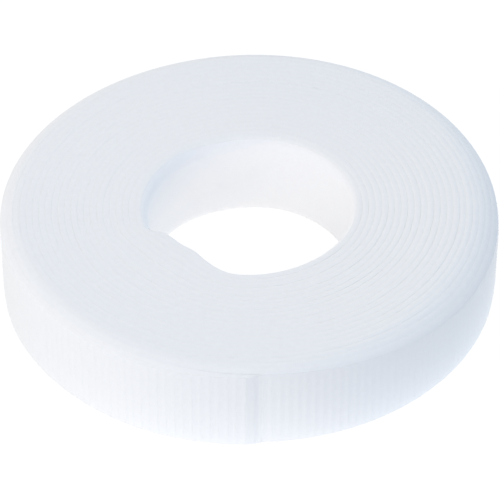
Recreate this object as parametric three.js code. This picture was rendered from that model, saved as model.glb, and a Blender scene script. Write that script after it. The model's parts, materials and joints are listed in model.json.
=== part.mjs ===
// A roll of hook and loop tape, wound on itself without a core and lying on its side.
// Millimetres, +Z up. The origin is on the roll's axis, on the surface that it lies on.
import * as THREE from 'three';

// Tape: two plies, the loop ply towards the bore and the hook ply outside it
const TAPE_WIDTH = 20;
const LOOP_PLY = 0.34;
const HOOK_PLY = 0.34;
const PLY_GAP = 0.3;
const TURN_GAP = 0.3;
const SELVEDGE = 0.6;

// Hooks on the outermost turn, in rows across the tape, and loop pile in the bore
const HOOK_ROW_PITCH = 1.73;
const HOOK_HEIGHT = 0.3;
const HOOK_FOOT = 0.2;
const PILE_HEIGHT = 0.35;
const SURFACE_GAP = 0.3;

// Roll: angles are in degrees, counter-clockwise from +X as seen from above
const INNER_RADIUS = 22;
const WHOLE_TURNS = 22;
const INNER_TIP_ANGLE = 200;
const OUTER_TIP_ANGLE = 270;
const STEPS_PER_TURN = 24;

// The roll is a little out of round: its outermost turn bulges outwards, its innermost one is dented inwards
const BULGES = [
  { angle: 15, spread: 42, height: 1.5 },
  { angle: 62, spread: 32, height: 0.75 },
  { angle: 186, spread: 25, height: 1 },
];
const DENTS = [
  { angle: 60, spread: 60, height: 0.5 },
  { angle: 106, spread: 16, height: 0.5 },
  { angle: 150, spread: 35, height: 0.55 },
  { angle: 303, spread: 22, height: 0.4 },
];

// Free ends: the outer one lies on the roll in short stretches, the inner one is a chord of the bore
const OUTER_END_SWEEP = 80;
const OUTER_END_STRETCHES = 4;
const STRETCH_STEPS = 4;
const INNER_END_SWEEP = 60;
const INNER_END_BOW = 0.3;
const INNER_END_STEPS = 8;
const END_GAP = 0.3;

// The turns behind the inner end are flattened with it, less and less outwards
const FLATTENED_TURNS = 7;

// Depths of the layers from the tape's inside face, outwards
const PITCH = LOOP_PLY + PLY_GAP + HOOK_PLY + TURN_GAP;
const LOOP_LAYER = [0, LOOP_PLY];
const HOOK_LAYER = [LOOP_PLY + PLY_GAP, LOOP_PLY + PLY_GAP + HOOK_PLY];
const PILE_LAYER = [-SURFACE_GAP - PILE_HEIGHT, -SURFACE_GAP];
const HOOK_ROW_LAYER = [HOOK_LAYER[1] + SURFACE_GAP, HOOK_LAYER[1] + SURFACE_GAP + HOOK_FOOT];

// Angles along the tape, counted from its inner tip
const TAPE_SWEEP = 360 * WHOLE_TURNS + OUTER_TIP_ANGLE - INNER_TIP_ANGLE;
const OUTER_END_START = TAPE_SWEEP - OUTER_END_SWEEP;
const STRETCH_SWEEP = OUTER_END_SWEEP / OUTER_END_STRETCHES;

const radians = THREE.MathUtils.degToRad;

// Degrees that an arc of the given length takes at the given place along the tape
function arcDegrees(length, along) {
  return THREE.MathUtils.radToDeg(length / (INNER_RADIUS + PITCH * along / 360));
}

// The sum of bell curves at an angle round the roll
function bells(angle, curves) {
  let total = 0;
  for (const curve of curves) {
    const turned = angle - curve.angle;
    const away = turned - 360 * Math.round(turned / 360);
    total += curve.height * Math.exp(-0.5 * (away / curve.spread) ** 2);
  }
  return total;
}

// How far the tape lies off a round spiral, the bulges fading inwards and the dents outwards
function outOfRound(along) {
  const angle = INNER_TIP_ANGLE + along;
  const outside = along / TAPE_SWEEP;
  return bells(angle, BULGES) * outside - bells(angle, DENTS) * (1 - outside);
}

// How far the inner end, and the turns behind it, stand off the spiral towards the axis
function innerEndLift(along) {
  const turn = Math.floor(along / 360);
  const past = along - 360 * turn;
  if (past >= INNER_END_SWEEP || turn >= FLATTENED_TURNS) {
    return 0;
  }
  const half = INNER_END_SWEEP / 2;
  const chord = Math.cos(radians(half)) / Math.cos(radians(past - half));
  const bow = INNER_END_BOW * Math.sin(Math.PI * past / INNER_END_SWEEP);
  return (INNER_RADIUS * (1 - chord) + bow) * (1 - turn / FLATTENED_TURNS);
}

// A point of the tape in plan, at an angle along it and a depth from its inside face
function tapePoint(along, depth) {
  const angle = INNER_TIP_ANGLE + along;
  const wound = PITCH * along / 360;
  const radius = INNER_RADIUS + wound + outOfRound(along) + depth - innerEndLift(along);
  return new THREE.Vector2(radius * Math.cos(radians(angle)), radius * Math.sin(radians(angle)));
}

// Places along the tape from one angle to another, on the same spokes in every turn
function spokes(from, to) {
  const step = 360 / STEPS_PER_TURN;
  const places = [from];
  for (let k = Math.ceil(from / step); k * step < to; k += 1) {
    if (k * step - from > step / 4 && to - k * step > step / 4) {
      places.push(k * step);
    }
  }
  places.push(to);
  return places;
}

// Equal steps along the tape from one angle to another
function equalSteps(from, to, count) {
  return Array.from({ length: count + 1 }, (_, k) => from + (to - from) * k / count);
}

// A closed strip through places along the tape, between two depths and two heights
function strip(places, layer, bottom, top) {
  const positions = [];
  const faces = [];
  places.forEach((along, k) => {
    const inside = tapePoint(along, layer[0]);
    const outside = tapePoint(along, layer[1]);
    positions.push(inside.x, inside.y, bottom);
    positions.push(outside.x, outside.y, bottom);
    positions.push(outside.x, outside.y, top);
    positions.push(inside.x, inside.y, top);
    if (k === 0) {
      return;
    }
    for (let side = 0; side < 4; side += 1) {
      const a = 4 * (k - 1) + side;
      const b = 4 * (k - 1) + (side + 1) % 4;
      faces.push(a, a + 4, b + 4);
      faces.push(a, b + 4, b);
    }
  });
  const last = 4 * (places.length - 1);
  faces.push(0, 1, 2, 0, 2, 3);
  faces.push(last, last + 2, last + 1, last, last + 3, last + 2);
  const geometry = new THREE.BufferGeometry();
  geometry.setAttribute('position', new THREE.Float32BufferAttribute(positions, 3));
  geometry.setIndex(faces);
  geometry.computeVertexNormals();
  return geometry;
}

// Rows of hooks as ribs across the tape, on one foot that follows the hook ply through its places
function hookRows(places) {
  const from = places[0];
  const to = places[places.length - 1];
  const length = radians(to - from) * (INNER_RADIUS + PITCH * to / 360);
  const rows = Math.max(1, Math.round(length / HOOK_ROW_PITCH));
  const foot = HOOK_ROW_LAYER[1];
  const outline = [];
  for (let k = 0; k < rows; k += 1) {
    const at = (part) => from + (to - from) * (k + part) / rows;
    outline.push(tapePoint(at(0), foot));
    outline.push(tapePoint(at(0.3), foot + HOOK_HEIGHT));
    outline.push(tapePoint(at(0.7), foot + HOOK_HEIGHT));
  }
  outline.push(tapePoint(to, foot));
  const back = places.map((along) => tapePoint(along, HOOK_ROW_LAYER[0]));
  outline.push(...back.reverse());
  const shape = new THREE.Shape(outline);
  const depth = TAPE_WIDTH - 2 * SELVEDGE;
  const geometry = new THREE.ExtrudeGeometry(shape, { depth, bevelEnabled: false });
  geometry.translate(0, 0, SELVEDGE);
  return geometry;
}

// The least gap between a strip's outside face and its own inside face one turn later
function leastGap(places, layer) {
  const inside = places.map((along) => tapePoint(along, layer[0]));
  const outside = places.map((along) => tapePoint(along, layer[1]));
  let least = Infinity;
  places.forEach((along, k) => {
    for (let j = k + 1; j < places.length; j += 1) {
      if (places[j - 1] - along < 180 || places[j] - along > 540) {
        continue;
      }
      const run = inside[j].clone().sub(inside[j - 1]);
      const to = outside[k].clone().sub(inside[j - 1]);
      const share = THREE.MathUtils.clamp(to.dot(run) / run.lengthSq(), 0, 1);
      least = Math.min(least, to.distanceTo(run.multiplyScalar(share)));
    }
  });
  return least;
}

const hookMaterial = new THREE.MeshStandardMaterial({ color: 0xe9eef5, roughness: 0.8, metalness: 0 });
const loopMaterial = new THREE.MeshStandardMaterial({ color: 0xf1f4f8, roughness: 0.95, metalness: 0 });
const monofilament = new THREE.MeshStandardMaterial({ color: 0xdde6f0, roughness: 0.45, metalness: 0 });

const roll = new THREE.Group();

function add(parent, name, geometry, material) {
  const mesh = new THREE.Mesh(geometry, material);
  mesh.name = name;
  parent.add(mesh);
}

// Both plies of one stretch of tape, at full width
function addPlies(parent, name, places) {
  add(parent, `hook_ply_${name}`, strip(places, HOOK_LAYER, 0, TAPE_WIDTH), hookMaterial);
  add(parent, `loop_ply_${name}`, strip(places, LOOP_LAYER, 0, TAPE_WIDTH), loopMaterial);
}

// Winding: every turn between the two free ends
const winding = new THREE.Group();
roll.add(winding);
const woundPlaces = spokes(INNER_END_SWEEP, OUTER_END_START);
addPlies(winding, 'winding', woundPlaces);
const exposedFrom = TAPE_SWEEP - 360 + arcDegrees(END_GAP, TAPE_SWEEP);
add(winding, 'hook_rows_winding', hookRows(spokes(exposedFrom, OUTER_END_START)), monofilament);
const boreEnd = 360 - arcDegrees(END_GAP, 0);
const pileTop = TAPE_WIDTH - SELVEDGE;
const borePile = strip(spokes(INNER_END_SWEEP, boreEnd), PILE_LAYER, SELVEDGE, pileTop);
add(winding, 'loop_pile_bore', borePile, loopMaterial);

// Outer end: stretches that lie on the roll, one after another up to the cut
for (let k = 0; k < OUTER_END_STRETCHES; k += 1) {
  const stretch = new THREE.Group();
  roll.add(stretch);
  const start = OUTER_END_START + k * STRETCH_SWEEP;
  const from = start + arcDegrees(END_GAP, start);
  const to = start + STRETCH_SWEEP;
  const places = equalSteps(from, to, STRETCH_STEPS);
  addPlies(stretch, `outer_end_${k + 1}`, places);
  add(stretch, `hook_rows_outer_end_${k + 1}`, hookRows(places), monofilament);
}

// Inner end: the straight stretch in the bore
const innerEnd = new THREE.Group();
roll.add(innerEnd);
const innerRoot = INNER_END_SWEEP - arcDegrees(END_GAP, INNER_END_SWEEP);
const innerPlaces = equalSteps(0, innerRoot, INNER_END_STEPS);
addPlies(innerEnd, 'inner_end', innerPlaces);
const innerPile = strip(innerPlaces, PILE_LAYER, SELVEDGE, pileTop);
add(innerEnd, 'loop_pile_inner_end', innerPile, loopMaterial);

console.log('least gap of the hook ply to itself, mm:', leastGap(woundPlaces, HOOK_LAYER).toFixed(3));
console.log('least gap of the loop ply to itself, mm:', leastGap(woundPlaces, LOOP_LAYER).toFixed(3));

export default roll;
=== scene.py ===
"""Looks of a coreless roll of hook and loop tape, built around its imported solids."""

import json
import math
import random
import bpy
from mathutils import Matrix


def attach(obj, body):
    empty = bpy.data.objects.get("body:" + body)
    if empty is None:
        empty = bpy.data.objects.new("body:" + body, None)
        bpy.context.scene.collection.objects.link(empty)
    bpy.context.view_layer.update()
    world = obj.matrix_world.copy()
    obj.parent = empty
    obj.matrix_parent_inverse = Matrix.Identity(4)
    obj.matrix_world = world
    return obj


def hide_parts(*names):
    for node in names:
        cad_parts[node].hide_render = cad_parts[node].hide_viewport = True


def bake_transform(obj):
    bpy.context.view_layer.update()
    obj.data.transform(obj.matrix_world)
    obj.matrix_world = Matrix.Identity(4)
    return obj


bl_info = {
    "name": "Hook and loop tape roll",
    "version": (1, 0, 0),
    "blender": (4, 5, 0),
    "location": "View3D > Sidebar > Tape roll",
    "description": "Winds a two-ply hook and loop tape into a coreless roll with free ends",
    "category": "Object",
}

import bmesh
import bpy
from bpy.props import FloatProperty, FloatVectorProperty, IntProperty, PointerProperty
from mathutils import Matrix, Vector, noise

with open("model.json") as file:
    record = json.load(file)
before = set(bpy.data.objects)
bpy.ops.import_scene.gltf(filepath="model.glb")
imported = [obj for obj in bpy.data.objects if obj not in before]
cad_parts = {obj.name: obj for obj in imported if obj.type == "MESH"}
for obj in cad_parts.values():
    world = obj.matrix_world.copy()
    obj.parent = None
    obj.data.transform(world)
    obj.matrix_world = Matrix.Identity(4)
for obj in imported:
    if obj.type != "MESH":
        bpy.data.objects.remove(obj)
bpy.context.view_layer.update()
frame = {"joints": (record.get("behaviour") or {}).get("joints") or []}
HINGES = {joint["name"]: Vector(joint["pos_m"]) for joint in frame["joints"]}

MM = 0.001

# Course of the tape, as in the part's solids; degrees counter-clockwise from +X, seen from above
INNER_TIP_ANGLE = 200.0
OUTER_TIP_ANGLE = 270.0
WHOLE_TURNS = 22
CUT_PLACE = 360.0 * WHOLE_TURNS + OUTER_TIP_ANGLE - INNER_TIP_ANGLE
OUTER_END_SWEEP = 80.0
OUTER_END_START = CUT_PLACE - OUTER_END_SWEEP
STRETCHES = 4
STRETCH_SWEEP = OUTER_END_SWEEP / STRETCHES
INNER_END_SWEEP = 60.0
BORE_PILE_END = 358.5

# The outer end's thin taper reaches past the solids' cut
TAPER_REACH = 2.5
TAPE_SWEEP = CUT_PLACE + TAPER_REACH
EXPOSED_START = TAPE_SWEEP - 360.0

# Bends of the free ends, in degrees past an outer hinge and before the inner one, and their depth in the tape
BEND_REACH = 11.6
BEND_DEPTH = 0.6 * MM
INNER_BEND_REACH = 16.0

# The roll out of round, as bell curves with an angle, a spread and a height in millimetres
BULGES = ((15.0, 42.0, 1.5), (62.0, 32.0, 0.75), (186.0, 25.0, 1.0))
DENTS = ((60.0, 60.0, 0.5), (106.0, 16.0, 0.5), (150.0, 35.0, 0.55), (303.0, 22.0, 0.4))
INNER_END_BOWS = ((206.0, 7.0, 0.7), (230.0, 5.0, 0.4), (250.0, 8.0, -0.6))
BOW_FADE = 5.0
FLATTENED_TURNS = 10
CORNER_SOFTNESS = 3.5

# Upper edges of the turns: where they sag, and how much deeper and wider there than elsewhere
SAG_ANGLE = 338.0
SAG_SPREAD = 38.0
SAG_DROP = 1.6
SAG_WIDTH = 1.4
FLANK_ANGLE = 215.0
FLANK_SPREAD = 35.0
FLANK_DROP = 0.4
FLANK_WIDTH = 0.7
RIM_ANGLE = 95.0
RIM_SPREAD = 48.0

# Where a turn begins to lie under the next one, in degrees before the outer tip, and how softly
COVERED_FROM = 300.0
COVERED_OVER = 75.0

# Where turns are pressed together: angle, spread and share; how their edges wander: length, row and share
PRESSED = ((242.0, 38.0, 0.95), (90.0, 40.0, 0.7))
WANDERS = ((45.0 * MM, 3.7, 0.75), (11.0 * MM, 9.1, 0.25))

# Cut ends: shares of a thickness that are left at the tip, and of the taper over which the ribs thin out
TIP_LEFT = 0.04
LEAN_LEFT = 0.45
RIBS_LEFT = 0.3
RIBS_TAPER = 0.4

# Pile between the turns: share of a gap that it fills, and share of the thickness over which it is drawn out
FILL_SHARE = 0.9
LOFT_SHARE = 0.4

# Hooks: shape as shares of their height, and how far each one strays from its place and its form
HOOK_BEND = 0.27
HOOK_ROOT = 0.3
HOOK_TURN = math.radians(205)
HOOK_MARGIN = 0.7 * MM
HOOK_STAGGER = 0.25
HOOK_SCATTER = 0.12
HOOK_LEAN = 0.22
HOOK_SWING = 0.35
HOOK_GROWTH = (0.88, 1.08)

# Ribbed ground under the hooks
GROUND_MARGIN = 0.15 * MM
GROUND_LEVELS = 18
STEPS_PER_RIB = 5
GROUND_HEIGHT = 0.06 * MM
GROUND_SINK = 0.05 * MM
GROUND_GRAIN = 0.02 * MM
GROUND_GRAIN_SIZE = (0.7 * MM, 0.9 * MM)
SOFT_EDGE = 0.1 * MM
SOFT_EDGE_SHARE = 0.45

# Loop pile in the bore
PILE_FULLEST = 160.0
PILE_SPREAD = 50.0
PILE_MARGIN = 0.12 * MM
PILE_ROUNDING = 2.0 * MM
PILE_EDGE_SHARE = 0.02
PILE_LEVELS = 52
PILE_BACK = 0.03 * MM
PILE_GRAIN = 0.03 * MM
PILE_GRAIN_SIZE = 1.1 * MM
FIBRE_RADIUS = 0.035 * MM
LOOP_RADIUS = 0.24 * MM
LOOP_FROM_BOTTOM = 0.5 * MM
LOOP_FROM_TOP = 0.35 * MM
LOOP_FROM_ENDS = 0.5
LOOP_SINK = 0.05 * MM
LOOP_TILT = 0.7
LOOP_FLATNESS = (0.35, 0.8)
LOOP_SEED = 40

# Steps of the meshes, in degrees along the tape
PLY_STEP = 2.5
END_STEP = 1.25
PILE_STEP = 1.0
OUTER_CUT_SWEEP = 4.0
INNER_CUT_SWEEP = 6.8

# Steps towards a cut end, as shares of its sweep
CUT_STEPS = (0.06, 0.14, 0.22, 0.3, 0.4, 0.5, 0.6, 0.7, 0.8, 0.9, 1.0)

# Corners that are merged, and edges that stay sharp
MERGE_DISTANCE = 0.00001 * MM
SHARP_ANGLE = math.radians(40)

# Layers across the tape's thickness, as shares of it, from the inside face outwards
LOOP_DEPTHS = (0.0, 0.03, 0.1, 0.2, 0.33, 0.499)
HOOK_DEPTHS = (0.501, 0.67, 0.8, 0.9, 0.97, 1.0)

# Light from the sides of the sky: where it comes from and its colour
SKY_SIDES = (
    ((-1.0, 0.0, 0.0), (0.7, 0.7, 0.7)),
    ((1.0, 0.0, 0.0), (0.08, 0.41, 0.77)),
    ((0.0, -1.0, 0.0), (0.73, 0.71, 0.77)),
    ((0.0, 1.0, 0.0), (0.85, 0.8, 0.75)),
    ((0.0, 0.0, 1.0), (0.96, 0.97, 0.98)),
)

# Lights: place, size and colour, with the narrow one's aim and width
KEY_PLACE = (-0.27, -0.34, 0.09)
KEY_SIZE = 0.5
RIM_PLACE = (0.35, 1.05, 0.6)
RIM_SIZE = 1.0
SOFT_COLOUR = (1.0, 0.995, 0.985)
BORE_PLACE = (0.52, -0.3, 0.22)
BORE_AIM = (-0.017, 0.011, 0.017)
BORE_WIDTH = math.radians(3.6)
BORE_SIZE = 0.03
BORE_COLOUR = (1.0, 0.75, 0.45)

# Floor: its glow seen by the camera, and on the roll in levels at the back left and at the front right
FLOOR_COLOUR = (0.85, 0.86, 0.87, 1.0)
FLOOR_GLOW = 0.78
WARM_GLOW = (1.02, 1.0, 0.98, 1.0)
WHITE = (1.0, 1.0, 1.0, 1.0)
GLOW_SEEN = 1.12
GLOW_ACROSS = (0.87, -0.5, 0.0)
GLOW_INSIDE = (1.3, 0.84)
GLOW_NEAR = (0.67, 1.32)
GLOW_FAR = (0.76, 0.52)
INSIDE_SPAN = (-0.02, 0.02)
AROUND_SPAN = (-0.05, 0.05)
BORE_RADII = (0.022, 0.03)
WALL_RADII = (0.054, 0.075)


class TapeSizes(bpy.types.PropertyGroup):
    """Sizes of the tape and of its roll"""

    tape_width: FloatProperty(
        name="Tape width",
        description="Width of the tape, the height of the lying roll",
        default=0.02,
        unit="LENGTH",
    )
    tape_thickness: FloatProperty(
        name="Tape thickness",
        description="Both plies together, without hooks",
        default=0.0012,
        unit="LENGTH",
    )
    turn_pitch: FloatProperty(
        name="Turn pitch",
        description="Distance from one turn to the next",
        default=0.00128,
        unit="LENGTH",
    )
    inner_radius: FloatProperty(
        name="Inner radius",
        description="Radius of the innermost turn's inside face",
        default=0.022,
        unit="LENGTH",
    )
    outer_lean: FloatProperty(
        name="Outer lean",
        description="Length over which the outer end is pressed flatter",
        default=0.026,
        unit="LENGTH",
    )
    outer_taper: FloatProperty(
        name="Outer taper",
        description="Length over which the outer end thins out",
        default=0.0032,
        unit="LENGTH",
    )
    inner_taper: FloatProperty(
        name="Inner taper",
        description="Length over which the inner end thins out",
        default=0.0026,
        unit="LENGTH",
    )
    edge_round: FloatProperty(
        name="Edge rounding",
        description="How far the tape's edge drops at its faces",
        default=0.000052,
        unit="LENGTH",
    )
    shoulder_drop: FloatProperty(
        name="Shoulder drop",
        description="How far the outermost edge lies below the others",
        default=0.001,
        unit="LENGTH",
    )
    shoulder_width: FloatProperty(
        name="Shoulder width",
        description="Width of the turns that slope down outwards",
        default=0.003,
        unit="LENGTH",
    )
    slope_drop: FloatProperty(
        name="Slope drop",
        description="How far the whole side slopes down at the right",
        default=0.0012,
        unit="LENGTH",
    )
    slope_width: FloatProperty(
        name="Slope width",
        description="Width of the slope at the right",
        default=0.015,
        unit="LENGTH",
    )
    rim_drop: FloatProperty(
        name="Rim drop",
        description="How far the innermost edge lies below the others",
        default=0.0012,
        unit="LENGTH",
    )
    rim_width: FloatProperty(
        name="Rim width",
        description="Width of the turns that slope down inwards",
        default=0.0026,
        unit="LENGTH",
    )
    edge_wander: FloatProperty(
        name="Edge wander",
        description="How far the turns' edges rise and fall",
        default=0.00007,
        unit="LENGTH",
    )
    seam_depth: FloatProperty(
        name="Seam depth",
        description="Depth of the pile below the edges between turns",
        default=0.00004,
        unit="LENGTH",
    )
    rows_per_turn: IntProperty(
        name="Rows per turn",
        description="Rows of hooks round the outermost turn",
        default=180,
    )
    hooks_per_row: IntProperty(
        name="Hooks per row",
        description="Hooks in a row across the tape",
        default=24,
    )
    hook_height: FloatProperty(
        name="Hook height",
        description="Height of a hook over the rib that it stands on",
        default=0.00015,
        unit="LENGTH",
    )
    hook_filament: FloatProperty(
        name="Hook filament",
        description="Thickness of a hook's filament",
        default=0.00006,
        unit="LENGTH",
    )
    rib_height: FloatProperty(
        name="Rib height",
        description="Height of the ribs that carry the hooks",
        default=0.00004,
        unit="LENGTH",
    )
    pile_height: FloatProperty(
        name="Pile height",
        description="Height of the loop pile in the bore",
        default=0.001,
        unit="LENGTH",
    )
    pile_slack: FloatProperty(
        name="Pile slack",
        description="Extra height of the pile where it stands fullest",
        default=0.0005,
        unit="LENGTH",
    )
    pile_loops: IntProperty(
        name="Pile loops",
        description="Loops of fibre shown on a whole turn of the bore",
        default=2400,
    )


class TapeFinish(bpy.types.PropertyGroup):
    """Colours of the tape"""

    hook_ply: FloatVectorProperty(
        name="Hook ply",
        description="Woven carrier of the hooks",
        subtype="COLOR",
        size=3,
        default=(0.89, 0.895, 0.905),
    )
    loop_ply: FloatVectorProperty(
        name="Loop ply",
        description="Knitted carrier of the loops",
        subtype="COLOR",
        size=3,
        default=(0.898, 0.9, 0.907),
    )
    hooks: FloatVectorProperty(
        name="Hooks",
        description="Monofilament of the hooks",
        subtype="COLOR",
        size=3,
        default=(0.88, 0.9, 0.925),
    )
    pile: FloatVectorProperty(
        name="Loop pile",
        description="Brushed loops",
        subtype="COLOR",
        size=3,
        default=(0.916, 0.918, 0.93),
    )


class StageSettings(bpy.types.PropertyGroup):
    """Camera and light"""

    camera_distance: FloatProperty(
        name="Camera distance",
        description="From the roll's axis to the camera",
        default=0.672,
        unit="LENGTH",
    )
    camera_height: FloatProperty(
        name="Aim height",
        description="Height of the point that the camera looks at",
        default=0.00719,
        unit="LENGTH",
    )
    camera_elevation: FloatProperty(
        name="Elevation",
        description="Camera above the horizon",
        default=math.radians(41.78),
        subtype="ANGLE",
    )
    lens: FloatProperty(
        name="Lens",
        description="Focal length on a 36 mm sensor",
        default=228.2,
        unit="CAMERA",
    )
    key_power: FloatProperty(
        name="Key light",
        description="Power of the soft light at the front left",
        default=0.905,
        unit="POWER",
    )
    rim_power: FloatProperty(
        name="Rim light",
        description="Power of the soft light at the back right",
        default=1.62,
        unit="POWER",
    )
    bore_power: FloatProperty(
        name="Bore light",
        description="Power of the narrow light into the bore",
        default=3.8,
        unit="POWER",
    )
    sky_strength: FloatProperty(
        name="Sky",
        description="Strength of the light from all round",
        default=0.96,
    )


def tape_sizes():
    return bpy.context.scene.tape_sizes


def bell(angle, centre, spread):
    """A bell curve of height 1 at an angle round the roll."""
    away = angle - centre - 360.0 * round((angle - centre) / 360.0)
    return math.exp(-0.5 * (away / spread) ** 2)


def bells(angle, shapes):
    """Sum of bell curves at an angle, in metres, each given by its place, its spread and its height."""
    return sum(height * MM * bell(angle, centre, spread) for centre, spread, height in shapes)


def eased(share):
    """A share of a way that starts and ends slowly."""
    return share ** 2 * (3.0 - 2.0 * share)


def out_of_round(along):
    """How far the tape lies off a round spiral: outwards at the outermost turn, inwards at the innermost."""
    angle = INNER_TIP_ANGLE + along
    outside = along / TAPE_SWEEP
    return bells(angle, BULGES) * outside - bells(angle, DENTS) * (1.0 - outside)


def chord_lift(along):
    """How far the straight inner end, and the turns behind it, lie off the spiral towards the axis."""
    turn = math.floor(along / 360.0)
    past = along - 360.0 * turn
    if along < 0 or past >= INNER_END_SWEEP or turn >= FLATTENED_TURNS:
        return 0.0
    half = INNER_END_SWEEP / 2
    chord = math.cos(math.radians(half)) / math.cos(math.radians(past - half))
    bow = bells(INNER_TIP_ANGLE + past, INNER_END_BOWS)
    bow *= min(1.0, past / BOW_FADE, (INNER_END_SWEEP - past) / BOW_FADE)
    return (tape_sizes().inner_radius * (1 - chord) + bow) * (1 - turn / FLATTENED_TURNS)


def inner_end_lift(along):
    """The chord's lift with its corners softened."""
    if along > 360.0 * FLATTENED_TURNS:
        return 0.0
    spots = (-1.0, -0.5, 0.0, 0.5, 1.0)
    return sum(chord_lift(along + CORNER_SOFTNESS * spot) for spot in spots) / len(spots)


def wound_length(along):
    """Length of the tape from its inner tip to a place along it."""
    return math.radians(along) * (tape_sizes().inner_radius + tape_sizes().turn_pitch * along / 720.0)


def edge_wander(along):
    """How high the tape's lower edge stands off the surface at a place along it."""
    length = wound_length(along)
    waves = [share * noise.noise(Vector((length / reach, row, 0.0))) for reach, row, share in WANDERS]
    return tape_sizes().edge_wander * (1.0 + sum(waves))


def turns_outside(along):
    """Turns of tape that lie over a place; the outermost one begins softly, past the cut outer end."""
    whole, rest = divmod(TAPE_SWEEP - along - COVERED_FROM, 360.0)
    return max(0.0, whole + eased(min(1.0, rest / COVERED_OVER)))


def shoulder(along, depth):
    """How far the tape's upper edge lies below the others, towards the outside and the bore of the roll."""
    sizes = tape_sizes()
    inwards = turns_outside(along) * sizes.turn_pitch + max(0.0, sizes.tape_thickness - depth)
    outwards = sizes.turn_pitch * along / 360.0 + depth
    angle = INNER_TIP_ANGLE + along
    sag = bell(angle, SAG_ANGLE, SAG_SPREAD)
    flank = bell(angle, FLANK_ANGLE, FLANK_SPREAD)
    drop = sizes.shoulder_drop * (1.0 + SAG_DROP * sag + FLANK_DROP * flank)
    width = sizes.shoulder_width * (1.0 + SAG_WIDTH * sag + FLANK_WIDTH * flank)
    dome = drop * max(0.0, 1.0 - inwards / width) ** 2.5
    slope = sizes.slope_drop * max(0.0, 1.0 - inwards / sizes.slope_width) ** 2
    rim = sizes.rim_drop * max(0.0, 1.0 - outwards / sizes.rim_width) ** 2
    return dome + slope * sag + rim * bell(angle, RIM_ANGLE, RIM_SPREAD)


def thinned(share, left):
    """What remains of a thickness at a share of a taper, from what is left at the cut to the whole."""
    return left + (1.0 - left) * eased(min(1.0, max(0.0, share)))


def rounded_cut(along, depth):
    """The depth of a point drawn in where the tape thins out towards a cut end."""
    sizes = tape_sizes()
    to_inner = wound_length(along)
    to_outer = wound_length(TAPE_SWEEP) - to_inner
    if to_inner < sizes.inner_taper:
        tapered = thinned(to_inner / sizes.inner_taper, TIP_LEFT)
        return sizes.tape_thickness + (depth - sizes.tape_thickness) * tapered
    if to_outer < sizes.outer_lean:
        proud = max(0.0, depth - sizes.tape_thickness)
        pressed_flat = thinned(to_outer / sizes.outer_lean, LEAN_LEFT)
        tapered = thinned(to_outer / sizes.outer_taper, TIP_LEFT)
        lowered = thinned(to_outer / (RIBS_TAPER * sizes.outer_taper), RIBS_LEFT)
        return (depth - proud) * pressed_flat * tapered + proud * lowered
    return depth


def tape_point(along, depth, height):
    """A point of the wound tape: degrees along it, depth from its inside face, height over its lower edge."""
    sizes = tape_sizes()
    depth = rounded_cut(along, depth)
    wound = sizes.turn_pitch * along / 360.0
    radius = sizes.inner_radius + wound + out_of_round(along) + depth - inner_end_lift(along)
    turned = math.radians(INNER_TIP_ANGLE + along)
    level = height * (1.0 - shoulder(along, depth) / sizes.tape_width) + edge_wander(along)
    return Vector((radius * math.cos(turned), radius * math.sin(turned), level))


def edge_drop(share):
    """How far the rounded edge lies below the full width, at a share of the tape's thickness."""
    return tape_sizes().edge_round * abs(2.0 * share - 1.0) ** 3


def ply_section(shares, fill=0.0):
    """Closed outline of a ply across the tape, as depths and heights, with pile on its inside if filled."""
    sizes = tape_sizes()
    top = [(share * sizes.tape_thickness, sizes.tape_width - edge_drop(share)) for share in shares]
    bottom = [(share * sizes.tape_thickness, edge_drop(share)) for share in reversed(shares)]
    if fill == 0.0:
        return top + bottom
    drop = edge_drop(0.0) + sizes.seam_depth
    inside = [
        (-0.5 * fill, 0.6 * drop),
        (-fill, drop),
        (-fill, sizes.tape_width - drop),
        (-0.5 * fill, sizes.tape_width - 0.6 * drop),
    ]
    return top + bottom + inside


def steps_between(start, end, step):
    """Places along the tape in equal steps, closer together towards its cut ends."""
    count = max(1, round((end - start) / step))
    places = {start + (end - start) * k / count for k in range(count + 1)}
    for share in CUT_STEPS:
        if start == 0.0:
            places.add(share * INNER_CUT_SWEEP)
        if end == TAPE_SWEEP:
            places.add(end - share * OUTER_CUT_SWEEP)
    return sorted(places)


def wound_strip(places, section, shape):
    """A closed strip of tape: a flat grid whose rows close round the section and whose columns are wound."""
    bm = bmesh.new()
    layer = bm.loops.layers.uv.new("UVMap")
    columns = len(places) - 1
    rows = len(section)
    bmesh.ops.create_grid(bm, x_segments=columns, y_segments=rows, size=0.5, calc_uvs=True)
    runs = [math.dist(section[k - 1], section[k]) for k in range(1, rows)]
    runs.append(math.dist(section[-1], section[0]))
    around = [sum(runs[:k]) for k in range(rows + 1)]
    for face in bm.faces:
        for loop in face.loops:
            column = round((loop.vert.co.x + 0.5) * columns)
            row = round((loop.vert.co.y + 0.5) * rows)
            loop[layer].uv = (wound_length(places[column]) / MM, around[row] / MM)
    for vert in bm.verts:
        along = places[round((vert.co.x + 0.5) * columns)]
        row = round((vert.co.y + 0.5) * rows) % rows
        depth, height = shape(along, *section[row])
        vert.co = tape_point(along, depth, height)
    bmesh.ops.remove_doubles(bm, verts=bm.verts, dist=MERGE_DISTANCE)
    open_edges = [edge for edge in bm.edges if edge.is_boundary]
    for edge in open_edges:
        edge.smooth = False
    bmesh.ops.holes_fill(bm, edges=open_edges, sides=0)
    bmesh.ops.recalc_face_normals(bm, faces=bm.faces)
    for edge in bm.edges:
        if edge.calc_face_angle(0.0) > SHARP_ANGLE:
            edge.smooth = False
    return bm


def finished(name, bm, slot, node):
    """The piece made from a bmesh, with its finish; the solid that it stands for is hidden."""
    mesh = mesh_of(name, bm)
    mesh.polygons.foreach_set("use_smooth", [True] * len(mesh.polygons))
    mesh.materials.append(finish_of(slot))
    piece = bpy.data.objects.new(name, mesh)
    bpy.context.scene.collection.objects.link(piece)
    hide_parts(node)
    return piece


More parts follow.
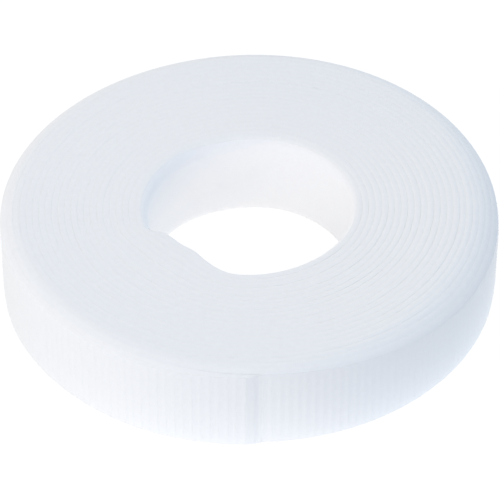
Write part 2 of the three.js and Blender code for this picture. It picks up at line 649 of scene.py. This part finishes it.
def mesh_of(name, bm):
    """A mesh with what a bmesh holds, which is freed."""
    mesh = bpy.data.meshes.new(name)
    bm.to_mesh(mesh)
    bm.free()
    return mesh


def joined(whole, part):
    """One bmesh with what two hold."""
    mesh = mesh_of("part", part)
    whole.from_mesh(mesh)
    bpy.data.meshes.remove(mesh)
    return whole


def pressed(along, depth, height):
    """Turns pressed together show less of their rounded edges."""
    width = tape_sizes().tape_width
    angle = INNER_TIP_ANGLE + along
    relief = 1.0 - sum(share * bell(angle, centre, spread) for centre, spread, share in PRESSED)
    if height > 0.5 * width:
        height = width - (width - height) * relief
    return depth, height


def loft(along, depth, height):
    """Pile that fills the wider gaps behind the inner end."""
    spare = inner_end_lift(along - 360.0) - inner_end_lift(along)
    spare += out_of_round(along) - out_of_round(along - 360.0)
    if along < 360.0 or spare <= 0.0:
        return pressed(along, depth, height)
    reach = 1.0 - min(1.0, max(0.0, depth) / (LOFT_SHARE * tape_sizes().tape_thickness))
    return pressed(along, depth - spare * reach, height)


def ply(kind, places):
    """One ply of a stretch of tape as a strip."""
    if kind == "hook":
        return wound_strip(places, ply_section(HOOK_DEPTHS), pressed)
    fill = FILL_SHARE * (tape_sizes().turn_pitch - tape_sizes().tape_thickness)
    return wound_strip(places, ply_section(LOOP_DEPTHS, fill), loft)


def hook_mesh():
    """One hook: a filament that rises from its rib and turns over along the tape."""
    sizes = tape_sizes()
    radius = 0.5 * sizes.hook_filament
    turn = HOOK_BEND * sizes.hook_height
    root = HOOK_ROOT * sizes.hook_height
    stem = sizes.hook_height - turn - radius
    bm = bmesh.new()
    ring = bmesh.ops.create_circle(bm, cap_ends=True, segments=4, radius=radius)["verts"]
    bmesh.ops.rotate(bm, verts=ring, cent=(0, 0, 0), matrix=Matrix.Rotation(math.radians(90), 3, "X"))
    bmesh.ops.translate(bm, verts=ring, vec=(0, -root, 0))
    face = bm.faces[:]
    risen = bmesh.ops.extrude_face_region(bm, geom=face)["geom"]
    tops = [item for item in risen if isinstance(item, bmesh.types.BMVert)]
    bmesh.ops.translate(bm, verts=tops, vec=(0, stem + root, 0))
    cap = [item for item in risen if isinstance(item, bmesh.types.BMFace)]
    bmesh.ops.delete(bm, geom=face, context="FACES_ONLY")
    bmesh.ops.spin(bm, geom=cap, cent=(turn, stem, 0), axis=(0, 0, -1), angle=HOOK_TURN, steps=4)
    bmesh.ops.holes_fill(bm, edges=[edge for edge in bm.edges if edge.is_boundary], sides=0)
    bmesh.ops.recalc_face_normals(bm, faces=bm.faces)
    return mesh_of("hook", bm)


def rib_depth(along):
    """Depth of the ribbed ground under the hooks."""
    sizes = tape_sizes()
    ripple = math.cos(math.radians(along * sizes.rows_per_turn))
    return sizes.tape_thickness + GROUND_HEIGHT + sizes.rib_height * (0.5 - 0.5 * ripple)


def ribbed_ground(first, last):
    """The ribbed strip that the hooks stand on."""
    sizes = tape_sizes()
    low = sizes.tape_thickness - GROUND_SINK
    span = sizes.tape_width - 2 * GROUND_MARGIN
    outside = [GROUND_MARGIN + span * k / GROUND_LEVELS for k in range(GROUND_LEVELS + 1)]
    section = [(1.0, height) for height in outside] + [(0.0, outside[-1]), (0.0, outside[0])]
    grain_along, grain_across = GROUND_GRAIN_SIZE

    def raise_ribs(along, share, height):
        if share == 0.0:
            return low, height
        to_edge = min(height - GROUND_MARGIN, sizes.tape_width - GROUND_MARGIN - height)
        soft = SOFT_EDGE_SHARE if to_edge < SOFT_EDGE else 1.0
        fine = noise.noise(Vector((wound_length(along) / grain_along, height / grain_across, 5.0)))
        return low + soft * (rib_depth(along) - low) + GROUND_GRAIN * fine, height

    step = 360.0 / sizes.rows_per_turn / STEPS_PER_RIB
    return wound_strip(steps_between(first, last, step), section, raise_ribs)


def hook_field(first, last):
    """Rows of hooks between two places along the outermost turn, each on its rib."""
    sizes = tape_sizes()
    pitch = 360.0 / sizes.rows_per_turn
    rows = range(math.ceil(first / pitch - 0.5), math.ceil(last / pitch - 0.5))
    spacing = (sizes.tape_width - 2 * HOOK_MARGIN) / (sizes.hooks_per_row - 1)
    draw = random.Random(round(first))
    bm = bmesh.new()
    hook = hook_mesh()
    for row in rows:
        facing = 1 if row % 2 else -1
        stagger = HOOK_STAGGER * (row % 2 - 0.5)
        for place in range(sizes.hooks_per_row):
            height = HOOK_MARGIN + spacing * (place + draw.uniform(-HOOK_SCATTER, HOOK_SCATTER) + stagger)
            along = (row + 0.5 + draw.uniform(-HOOK_SCATTER, HOOK_SCATTER)) * pitch
            lean = Matrix.Rotation(draw.uniform(-HOOK_LEAN, HOOK_LEAN), 4, "Z")
            swing = Matrix.Rotation(draw.uniform(-HOOK_SWING, HOOK_SWING), 4, "Y")
            size = Matrix.Diagonal((facing, draw.uniform(*HOOK_GROWTH), 1.0, 1.0))
            placed = hook.copy()
            placed.transform(swing @ lean @ size)
            if facing < 0:
                placed.flip_normals()
            ground = tape_point(along, rib_depth(along), height)
            outward = Matrix.Rotation(math.radians(INNER_TIP_ANGLE + along - 90), 4, "Z")
            placed.transform(Matrix.Translation(ground) @ outward)
            bm.from_mesh(placed)
            bpy.data.meshes.remove(placed)
    bpy.data.meshes.remove(hook)
    return bm


def hooks_on_ribs(first, last):
    """The hooks of a stretch of the outermost turn, with their ground."""
    return joined(ribbed_ground(first, last), hook_field(first, last))


def fibre_mesh():
    """One loop of the pile: a half ring of fine fibre."""
    bm = bmesh.new()
    ring = bmesh.ops.create_circle(bm, cap_ends=True, segments=3, radius=FIBRE_RADIUS)["verts"]
    bmesh.ops.translate(bm, verts=ring, vec=(LOOP_RADIUS, 0, 0))
    bmesh.ops.spin(bm, geom=bm.faces[:], cent=(0, 0, 0), axis=(0, -1, 0), angle=math.radians(180), steps=5)
    bmesh.ops.recalc_face_normals(bm, faces=bm.faces)
    bmesh.ops.rotate(bm, verts=bm.verts, cent=(0, 0, 0), matrix=Matrix.Rotation(math.radians(90), 3, "X"))
    return mesh_of("fibre", bm)


def pile_face(along, height):
    """Depth of the pile's uneven face towards the bore, rounded off at its two edges."""
    sizes = tape_sizes()
    rough = noise.noise(Vector((wound_length(along) / PILE_GRAIN_SIZE, height / PILE_GRAIN_SIZE, 2.0)))
    away = (INNER_TIP_ANGLE + along - 360.0 - PILE_FULLEST) / PILE_SPREAD
    slack = sizes.pile_slack * math.exp(-0.5 * away ** 2)
    to_edge = min(height, sizes.tape_width - height) - PILE_MARGIN
    share = min(1.0, PILE_EDGE_SHARE + to_edge / PILE_ROUNDING)
    return (PILE_GRAIN * rough - sizes.pile_height - slack) * math.sqrt(1.0 - (1.0 - share) ** 2)


def pile_strip(first, last):
    """The uneven ground of the pile."""
    width = tape_sizes().tape_width
    span = width - 2 * PILE_MARGIN
    inside = [width - PILE_MARGIN - span * k / PILE_LEVELS for k in range(PILE_LEVELS + 1)]
    section = [(1.0, height) for height in inside] + [(0.0, inside[-1]), (0.0, inside[0])]

    def roughen(along, share, height):
        if share == 0.0:
            return PILE_BACK, height
        return pile_face(along, height), height

    return wound_strip(steps_between(first, last, PILE_STEP), section, roughen)


def pile_loops(first, last):
    """Loops of fibre that stand out of the pile's ground."""
    sizes = tape_sizes()
    draw = random.Random(round(first) + LOOP_SEED)
    bm = bmesh.new()
    fibre = fibre_mesh()
    for _ in range(round(sizes.pile_loops * (last - first) / 360.0)):
        along = draw.uniform(first + LOOP_FROM_ENDS, last - LOOP_FROM_ENDS)
        height = draw.uniform(LOOP_FROM_BOTTOM, sizes.tape_width - LOOP_FROM_TOP)
        lean = Matrix.Rotation(draw.uniform(-LOOP_TILT, LOOP_TILT), 4, "X")
        swing = Matrix.Rotation(draw.uniform(-LOOP_TILT, LOOP_TILT), 4, "Z")
        placed = fibre.copy()
        placed.transform(lean @ swing @ Matrix.Rotation(draw.uniform(0, math.tau), 4, "Y"))
        placed.transform(Matrix.Diagonal((1.0, draw.uniform(*LOOP_FLATNESS), 1.0, 1.0)))
        ground = tape_point(along, pile_face(along, height) + LOOP_SINK, height)
        inward = Matrix.Rotation(math.radians(INNER_TIP_ANGLE + along + 90), 4, "Z")
        placed.transform(Matrix.Translation(ground) @ inward)
        bm.from_mesh(placed)
        bpy.data.meshes.remove(placed)
    bpy.data.meshes.remove(fibre)
    return bm


def pile(first, last):
    """The loop pile on a stretch of the innermost turn."""
    return joined(pile_strip(first, last), pile_loops(first, last))


def new_material(name, roughness, sheen, gloss):
    """A material with the settings that every finish here shares."""
    material = bpy.data.materials.new(name)
    material.use_nodes = True
    tree = material.node_tree
    shader = tree.nodes["Principled BSDF"]
    shader.inputs["Roughness"].default_value = roughness
    shader.inputs["Sheen Weight"].default_value = sheen
    shader.inputs["Sheen Roughness"].default_value = 0.5
    shader.inputs["Specular IOR Level"].default_value = gloss
    return tree, shader, material


def add_node(tree, kind, values=None, **settings):
    """A node with its settings and the values of its inputs."""
    made = tree.nodes.new(kind)
    for key, value in settings.items():
        setattr(made, key, value)
    for key, value in (values or {}).items():
        made.inputs[key].default_value = value
    return made


def maths(tree, operation, *operands):
    """The output of a maths node whose operands are numbers or other nodes' outputs."""
    made = add_node(tree, "ShaderNodeMath", operation=operation)
    feed(tree, made.inputs, operands)
    return made.outputs[0]


def feed(tree, sockets, levels):
    """Gives sockets their levels, each a number or another node's output."""
    for socket, level in zip(sockets, levels):
        if isinstance(level, float):
            socket.default_value = level
        else:
            tree.links.new(level, socket)


def uneven_noise(tree, scale, detail):
    """An uneven pattern that lies still on the piece."""
    place = add_node(tree, "ShaderNodeTexCoord").outputs["Object"]
    made = add_node(tree, "ShaderNodeTexNoise", {"Scale": scale, "Detail": detail})
    tree.links.new(place, made.inputs["Vector"])
    return made.outputs[0]


def tinted(tree, shader, colour, factor, dark, light):
    """Base colour that varies between a darker and a lighter shade of the finish."""
    mix = add_node(tree, "ShaderNodeMix", data_type="RGBA")
    mix.inputs[6].default_value = (*[channel * dark for channel in colour], 1.0)
    mix.inputs[7].default_value = (*[min(1.0, channel * light) for channel in colour], 1.0)
    tree.links.new(factor, mix.inputs[0])
    tree.links.new(mix.outputs[2], shader.inputs["Base Color"])


def bumped(tree, shader, height, distance):
    """Fine relief of the finish."""
    bump = add_node(tree, "ShaderNodeBump", {"Strength": 0.2, "Distance": distance})
    tree.links.new(height, bump.inputs["Height"])
    tree.links.new(bump.outputs[0], shader.inputs["Normal"])


def wave(tree, coordinate, period):
    """A sine along a coordinate, with a period in its own units."""
    return maths(tree, "SINE", maths(tree, "MULTIPLY", coordinate, math.tau / period))


def fabric(name, colour, thread, bead, sheen):
    """Finish of a ply: threads along and across the tape, beaded selvedges and uneven dye."""
    tree, shader, material = new_material(name, 0.8, sheen, 0.3)
    uv = add_node(tree, "ShaderNodeUVMap", uv_map="UVMap")
    split = add_node(tree, "ShaderNodeSeparateXYZ")
    tree.links.new(uv.outputs[0], split.inputs[0])
    along, across = split.outputs[:2]
    woven = maths(tree, "MULTIPLY", wave(tree, across, thread), wave(tree, along, thread * 1.2))
    beaded = maths(tree, "MULTIPLY_ADD", wave(tree, along, bead), 0.7, woven)
    uneven = uneven_noise(tree, 900.0, 3.0)
    tinted(tree, shader, colour, uneven, 0.97, 1.02)
    bumped(tree, shader, maths(tree, "ADD", beaded, uneven), 0.04 * MM)
    return material


def filament(name, colour, roughness, sheen, gloss, grain):
    """Finish of hooks and pile: fine filament with a slight unevenness."""
    tree, shader, material = new_material(name, roughness, sheen, gloss)
    uneven = uneven_noise(tree, grain, 2.0)
    tinted(tree, shader, colour, uneven, 0.98, 1.02)
    rough = graded(tree, uneven, (0.0, 1.0), (roughness - 0.08, roughness + 0.08))
    tree.links.new(rough, shader.inputs["Roughness"])
    bumped(tree, shader, uneven, 0.03 * MM)
    return material


def graded(tree, value, places, levels):
    """A level that changes between two places of a value; each level is a number or another node's output."""
    made = add_node(tree, "ShaderNodeMapRange", {1: places[0], 2: places[1]})
    tree.links.new(value, made.inputs[0])
    feed(tree, made.inputs[3:5], levels)
    return made.outputs[0]


def finish_of(slot):
    """The material of a slot, made once."""
    name = slot + "_finish"
    made = bpy.data.materials.get(name)
    if made:
        return made
    colours = bpy.context.scene.tape_finish
    if slot == "hook_ply":
        return fabric(name, colours.hook_ply, thread=0.36, bead=1.15, sheen=0.2)
    if slot == "loop_ply":
        return fabric(name, colours.loop_ply, thread=0.44, bead=0.9, sheen=0.35)
    if slot == "hooks":
        return filament(name, colours.hooks, roughness=0.4, sheen=0.6, gloss=0.5, grain=900.0)
    return filament(name, colours.pile, roughness=0.85, sheen=0.5, gloss=0.3, grain=1400.0)


class ROLL_OT_winding(bpy.types.Operator):
    """Winds both plies between the two free ends"""

    bl_idname = "roll.winding"
    bl_label = "Winding"

    def execute(self, context):
        places = steps_between(INNER_END_SWEEP, OUTER_END_START, PLY_STEP)
        for kind in ("hook", "loop"):
            slot = kind + "_ply"
            piece = finished(slot + "_roll", ply(kind, places), slot, slot + "_winding")
            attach(piece, "winding")
        return {"FINISHED"}


class ROLL_OT_hooks(bpy.types.Operator):
    """Sets rows of hooks on the outermost turn"""

    bl_idname = "roll.hooks"
    bl_label = "Hooks"

    def execute(self, context):
        field = hooks_on_ribs(EXPOSED_START, OUTER_END_START)
        piece = finished("hooks_roll", field, "hooks", "hook_rows_winding")
        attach(piece, "winding")
        return {"FINISHED"}


class ROLL_OT_pile(bpy.types.Operator):
    """Lays the loop pile in the bore"""

    bl_idname = "roll.pile"
    bl_label = "Loop pile"

    def execute(self, context):
        field = pile(INNER_END_SWEEP, BORE_PILE_END)
        piece = finished("pile_bore", field, "loop_pile", "loop_pile_bore")
        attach(piece, "winding")
        return {"FINISHED"}


class ROLL_OT_outer_end(bpy.types.Operator):
    """Makes the outer end in stretches, each with its plies and hooks"""

    bl_idname = "roll.outer_end"
    bl_label = "Outer end"

    def execute(self, context):
        for number in range(1, STRETCHES + 1):
            hinge = OUTER_END_START + (number - 1) * STRETCH_SWEEP
            bent = hinge + BEND_REACH
            first = hinge if number == 1 else bent - STRETCH_SWEEP
            last = TAPE_SWEEP if number == STRETCHES else bent
            body = f"outer_end_{number}"
            level = HINGES[f"outer_peel_{number}"].z
            bend_start = tape_point(first, BEND_DEPTH, level)
            bend_end = tape_point(bent, BEND_DEPTH, level)
            bend_end.z = bend_start.z
            places = steps_between(first, last, END_STEP)
            layers = (
                ("hook_ply", "hook_ply", ply("hook", places)),
                ("loop_ply", "loop_ply", ply("loop", places)),
                ("hooks", "hook_rows", hooks_on_ribs(first, last)),
            )
            for slot, node, bm in layers:
                piece = finished(f"{slot}_tail_{number}", bm, slot, f"{node}_{body}")
                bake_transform(piece)
        return {"FINISHED"}


class ROLL_OT_inner_end(bpy.types.Operator):
    """Makes the straight inner end with its pile"""

    bl_idname = "roll.inner_end"
    bl_label = "Inner end"

    def execute(self, context):
        hinge = HINGES["inner_end_swing"]
        bend_end = tape_point(INNER_END_SWEEP - INNER_BEND_REACH, 0.0, hinge.z)
        bend_end.z = hinge.z
        places = steps_between(0.0, INNER_END_SWEEP, END_STEP)
        layers = (
            ("hook_ply", ply("hook", places)),
            ("loop_ply", ply("loop", places)),
            ("loop_pile", pile(0.0, INNER_END_SWEEP)),
        )
        for slot, bm in layers:
            piece = finished(slot + "_tip", bm, slot, slot + "_inner_end")
            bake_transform(piece)
        return {"FINISHED"}


class ROLL_OT_stage(bpy.types.Operator):
    """Sets the floor, the light and the camera"""

    bl_idname = "roll.stage"
    bl_label = "Stage"

    def execute(self, context):
        settings = context.scene.stage_settings
        floor()
        sky(settings)
        soft_light("key", settings.key_power, KEY_SIZE, KEY_PLACE)
        soft_light("rim", settings.rim_power, RIM_SIZE, RIM_PLACE)
        bore_light(settings)
        camera(settings)
        context.scene.view_settings.view_transform = "Standard"
        return {"FINISHED"}


def floor():
    """A pale floor that is white to the camera and keeps a soft shadow."""
    bm = bmesh.new()
    bmesh.ops.create_grid(bm, x_segments=1, y_segments=1, size=3.0)
    mesh = mesh_of("floor", bm)
    mesh.materials.append(floor_finish())
    piece = bpy.data.objects.new("floor", mesh)
    bpy.context.scene.collection.objects.link(piece)


def floor_finish():
    """Partly matte, mostly glowing: white to the camera, uneven in the light that it throws on the roll."""
    material = bpy.data.materials.new("floor_finish")
    material.use_nodes = True
    tree = material.node_tree
    tree.nodes.clear()
    place = add_node(tree, "ShaderNodeTexCoord").outputs["Object"]
    radius = add_node(tree, "ShaderNodeVectorMath", operation="LENGTH")
    tree.links.new(place, radius.inputs[0])
    across = add_node(tree, "ShaderNodeVectorMath", {1: GLOW_ACROSS}, operation="DOT_PRODUCT")
    tree.links.new(place, across.inputs[0])
    inside = graded(tree, across.outputs["Value"], INSIDE_SPAN, GLOW_INSIDE)
    near = graded(tree, across.outputs["Value"], AROUND_SPAN, GLOW_NEAR)
    far = graded(tree, across.outputs["Value"], AROUND_SPAN, GLOW_FAR)
    around = graded(tree, radius.outputs["Value"], WALL_RADII, (near, far))
    bounce = graded(tree, radius.outputs["Value"], BORE_RADII, (inside, around))
    watched = seen(tree)
    tint = add_node(tree, "ShaderNodeMix", {6: WARM_GLOW, 7: WHITE}, data_type="RGBA")
    tree.links.new(watched, tint.inputs[0])
    glow = add_node(tree, "ShaderNodeEmission")
    tree.links.new(tint.outputs[2], glow.inputs["Color"])
    tree.links.new(graded(tree, watched, (0.0, 1.0), (bounce, GLOW_SEEN)), glow.inputs["Strength"])
    matte = add_node(tree, "ShaderNodeBsdfDiffuse", {"Color": FLOOR_COLOUR})
    mix = add_node(tree, "ShaderNodeMixShader", {0: FLOOR_GLOW})
    tree.links.new(matte.outputs[0], mix.inputs[1])
    tree.links.new(glow.outputs[0], mix.inputs[2])
    output = add_node(tree, "ShaderNodeOutputMaterial")
    tree.links.new(mix.outputs[0], output.inputs[0])
    return material


def seen(tree):
    """1 where the camera sees a surface straight, mirrored or through something clear."""
    path = add_node(tree, "ShaderNodeLightPath").outputs
    straight_or_mirrored = maths(tree, "MAXIMUM", path["Is Camera Ray"], path["Is Glossy Ray"])
    return maths(tree, "MAXIMUM", straight_or_mirrored, path["Is Transmission Ray"])


def sky(settings):
    """Even light from all round, white where the camera sees it."""
    world = bpy.data.worlds.new("sky")
    bpy.context.scene.world = world
    world.use_nodes = True
    tree = world.node_tree
    tree.nodes.clear()
    direction = add_node(tree, "ShaderNodeTexCoord").outputs["Generated"]
    total = add_node(tree, "ShaderNodeCombineXYZ").outputs[0]
    for axis, colour in SKY_SIDES:
        facing = add_node(tree, "ShaderNodeVectorMath", {1: axis}, operation="DOT_PRODUCT")
        tree.links.new(direction, facing.inputs[0])
        share = maths(tree, "POWER", maths(tree, "MAXIMUM", facing.outputs["Value"], 0.0), 2.0)
        lit = add_node(tree, "ShaderNodeVectorMath", {1: colour}, operation="MULTIPLY_ADD")
        tree.links.new(share, lit.inputs[0])
        tree.links.new(total, lit.inputs[2])
        total = lit.outputs[0]
    light = add_node(tree, "ShaderNodeBackground", {"Strength": settings.sky_strength})
    tree.links.new(total, light.inputs["Color"])
    white = add_node(tree, "ShaderNodeBackground", {"Color": WHITE, "Strength": 1.0})
    mix = add_node(tree, "ShaderNodeMixShader")
    tree.links.new(seen(tree), mix.inputs[0])
    tree.links.new(light.outputs[0], mix.inputs[1])
    tree.links.new(white.outputs[0], mix.inputs[2])
    output = add_node(tree, "ShaderNodeOutputWorld")
    tree.links.new(mix.outputs[0], output.inputs[0])


def soft_light(name, power, size, place):
    """A large soft light that faces the roll."""
    data = bpy.data.lights.new(name, "AREA")
    data.shape = "SQUARE"
    data.size = size
    data.energy = power
    data.color = SOFT_COLOUR
    hang(data, place, (0.0, 0.0, 0.0))


def bore_light(settings):
    """A narrow light that falls on one place in the bore, soft at its rim."""
    data = bpy.data.lights.new("bore", "SPOT")
    data.energy = settings.bore_power
    data.spot_size = BORE_WIDTH
    data.spot_blend = 1.0
    data.shadow_soft_size = BORE_SIZE
    data.color = BORE_COLOUR
    hang(data, BORE_PLACE, BORE_AIM)


def hang(data, place, aim):
    """A lamp at a place, turned towards another."""
    lamp = bpy.data.objects.new(data.name, data)
    bpy.context.scene.collection.objects.link(lamp)
    lamp.location = place
    lamp.rotation_mode = "QUATERNION"
    lamp.rotation_quaternion = (Vector(aim) - lamp.location).to_track_quat("-Z", "Y")


def camera(settings):
    """The camera at the photograph's angle."""
    data = bpy.data.cameras.new("camera")
    data.sensor_width = 36.0
    data.lens = settings.lens
    data.clip_start = 0.01
    data.clip_end = 50.0
    eye = bpy.data.objects.new("camera", data)
    bpy.context.scene.collection.objects.link(eye)
    rise = settings.camera_elevation
    back = Vector((0.0, -math.cos(rise), math.sin(rise)))
    eye.location = Vector((0.0, 0.0, settings.camera_height)) + settings.camera_distance * back
    eye.rotation_mode = "QUATERNION"
    eye.rotation_quaternion = (-back).to_track_quat("-Z", "Y")
    bpy.context.scene.camera = eye


class ROLL_PT_panel(bpy.types.Panel):
    """Sizes, finishes and steps of the roll"""

    bl_idname = "ROLL_PT_panel"
    bl_label = "Tape roll"
    bl_space_type = "VIEW_3D"
    bl_region_type = "UI"
    bl_category = "Tape roll"

    def draw(self, context):
        layout = self.layout
        for group in (context.scene.tape_sizes, context.scene.tape_finish, context.scene.stage_settings):
            box = layout.box()
            for name in group.bl_rna.properties.keys():
                if name not in {"rna_type", "name"}:
                    box.prop(group, name)
        for operator in OPERATORS:
            layout.operator(operator.bl_idname)


GROUPS = (TapeSizes, TapeFinish, StageSettings)
OPERATORS = (
    ROLL_OT_winding,
    ROLL_OT_hooks,
    ROLL_OT_pile,
    ROLL_OT_outer_end,
    ROLL_OT_inner_end,
    ROLL_OT_stage,
)
CLASSES = (*GROUPS, *OPERATORS, ROLL_PT_panel)


def register():
    for item in CLASSES:
        bpy.utils.register_class(item)
    bpy.types.Scene.tape_sizes = PointerProperty(type=TapeSizes)
    bpy.types.Scene.tape_finish = PointerProperty(type=TapeFinish)
    bpy.types.Scene.stage_settings = PointerProperty(type=StageSettings)


def unregister():
    del bpy.types.Scene.stage_settings
    del bpy.types.Scene.tape_finish
    del bpy.types.Scene.tape_sizes
    for item in reversed(CLASSES):
        bpy.utils.unregister_class(item)


def main():
    register()
    bpy.ops.roll.winding()
    bpy.ops.roll.hooks()
    bpy.ops.roll.pile()
    bpy.ops.roll.outer_end()
    bpy.ops.roll.inner_end()
    bpy.ops.roll.stage()


if __name__ == "__main__":
    main()
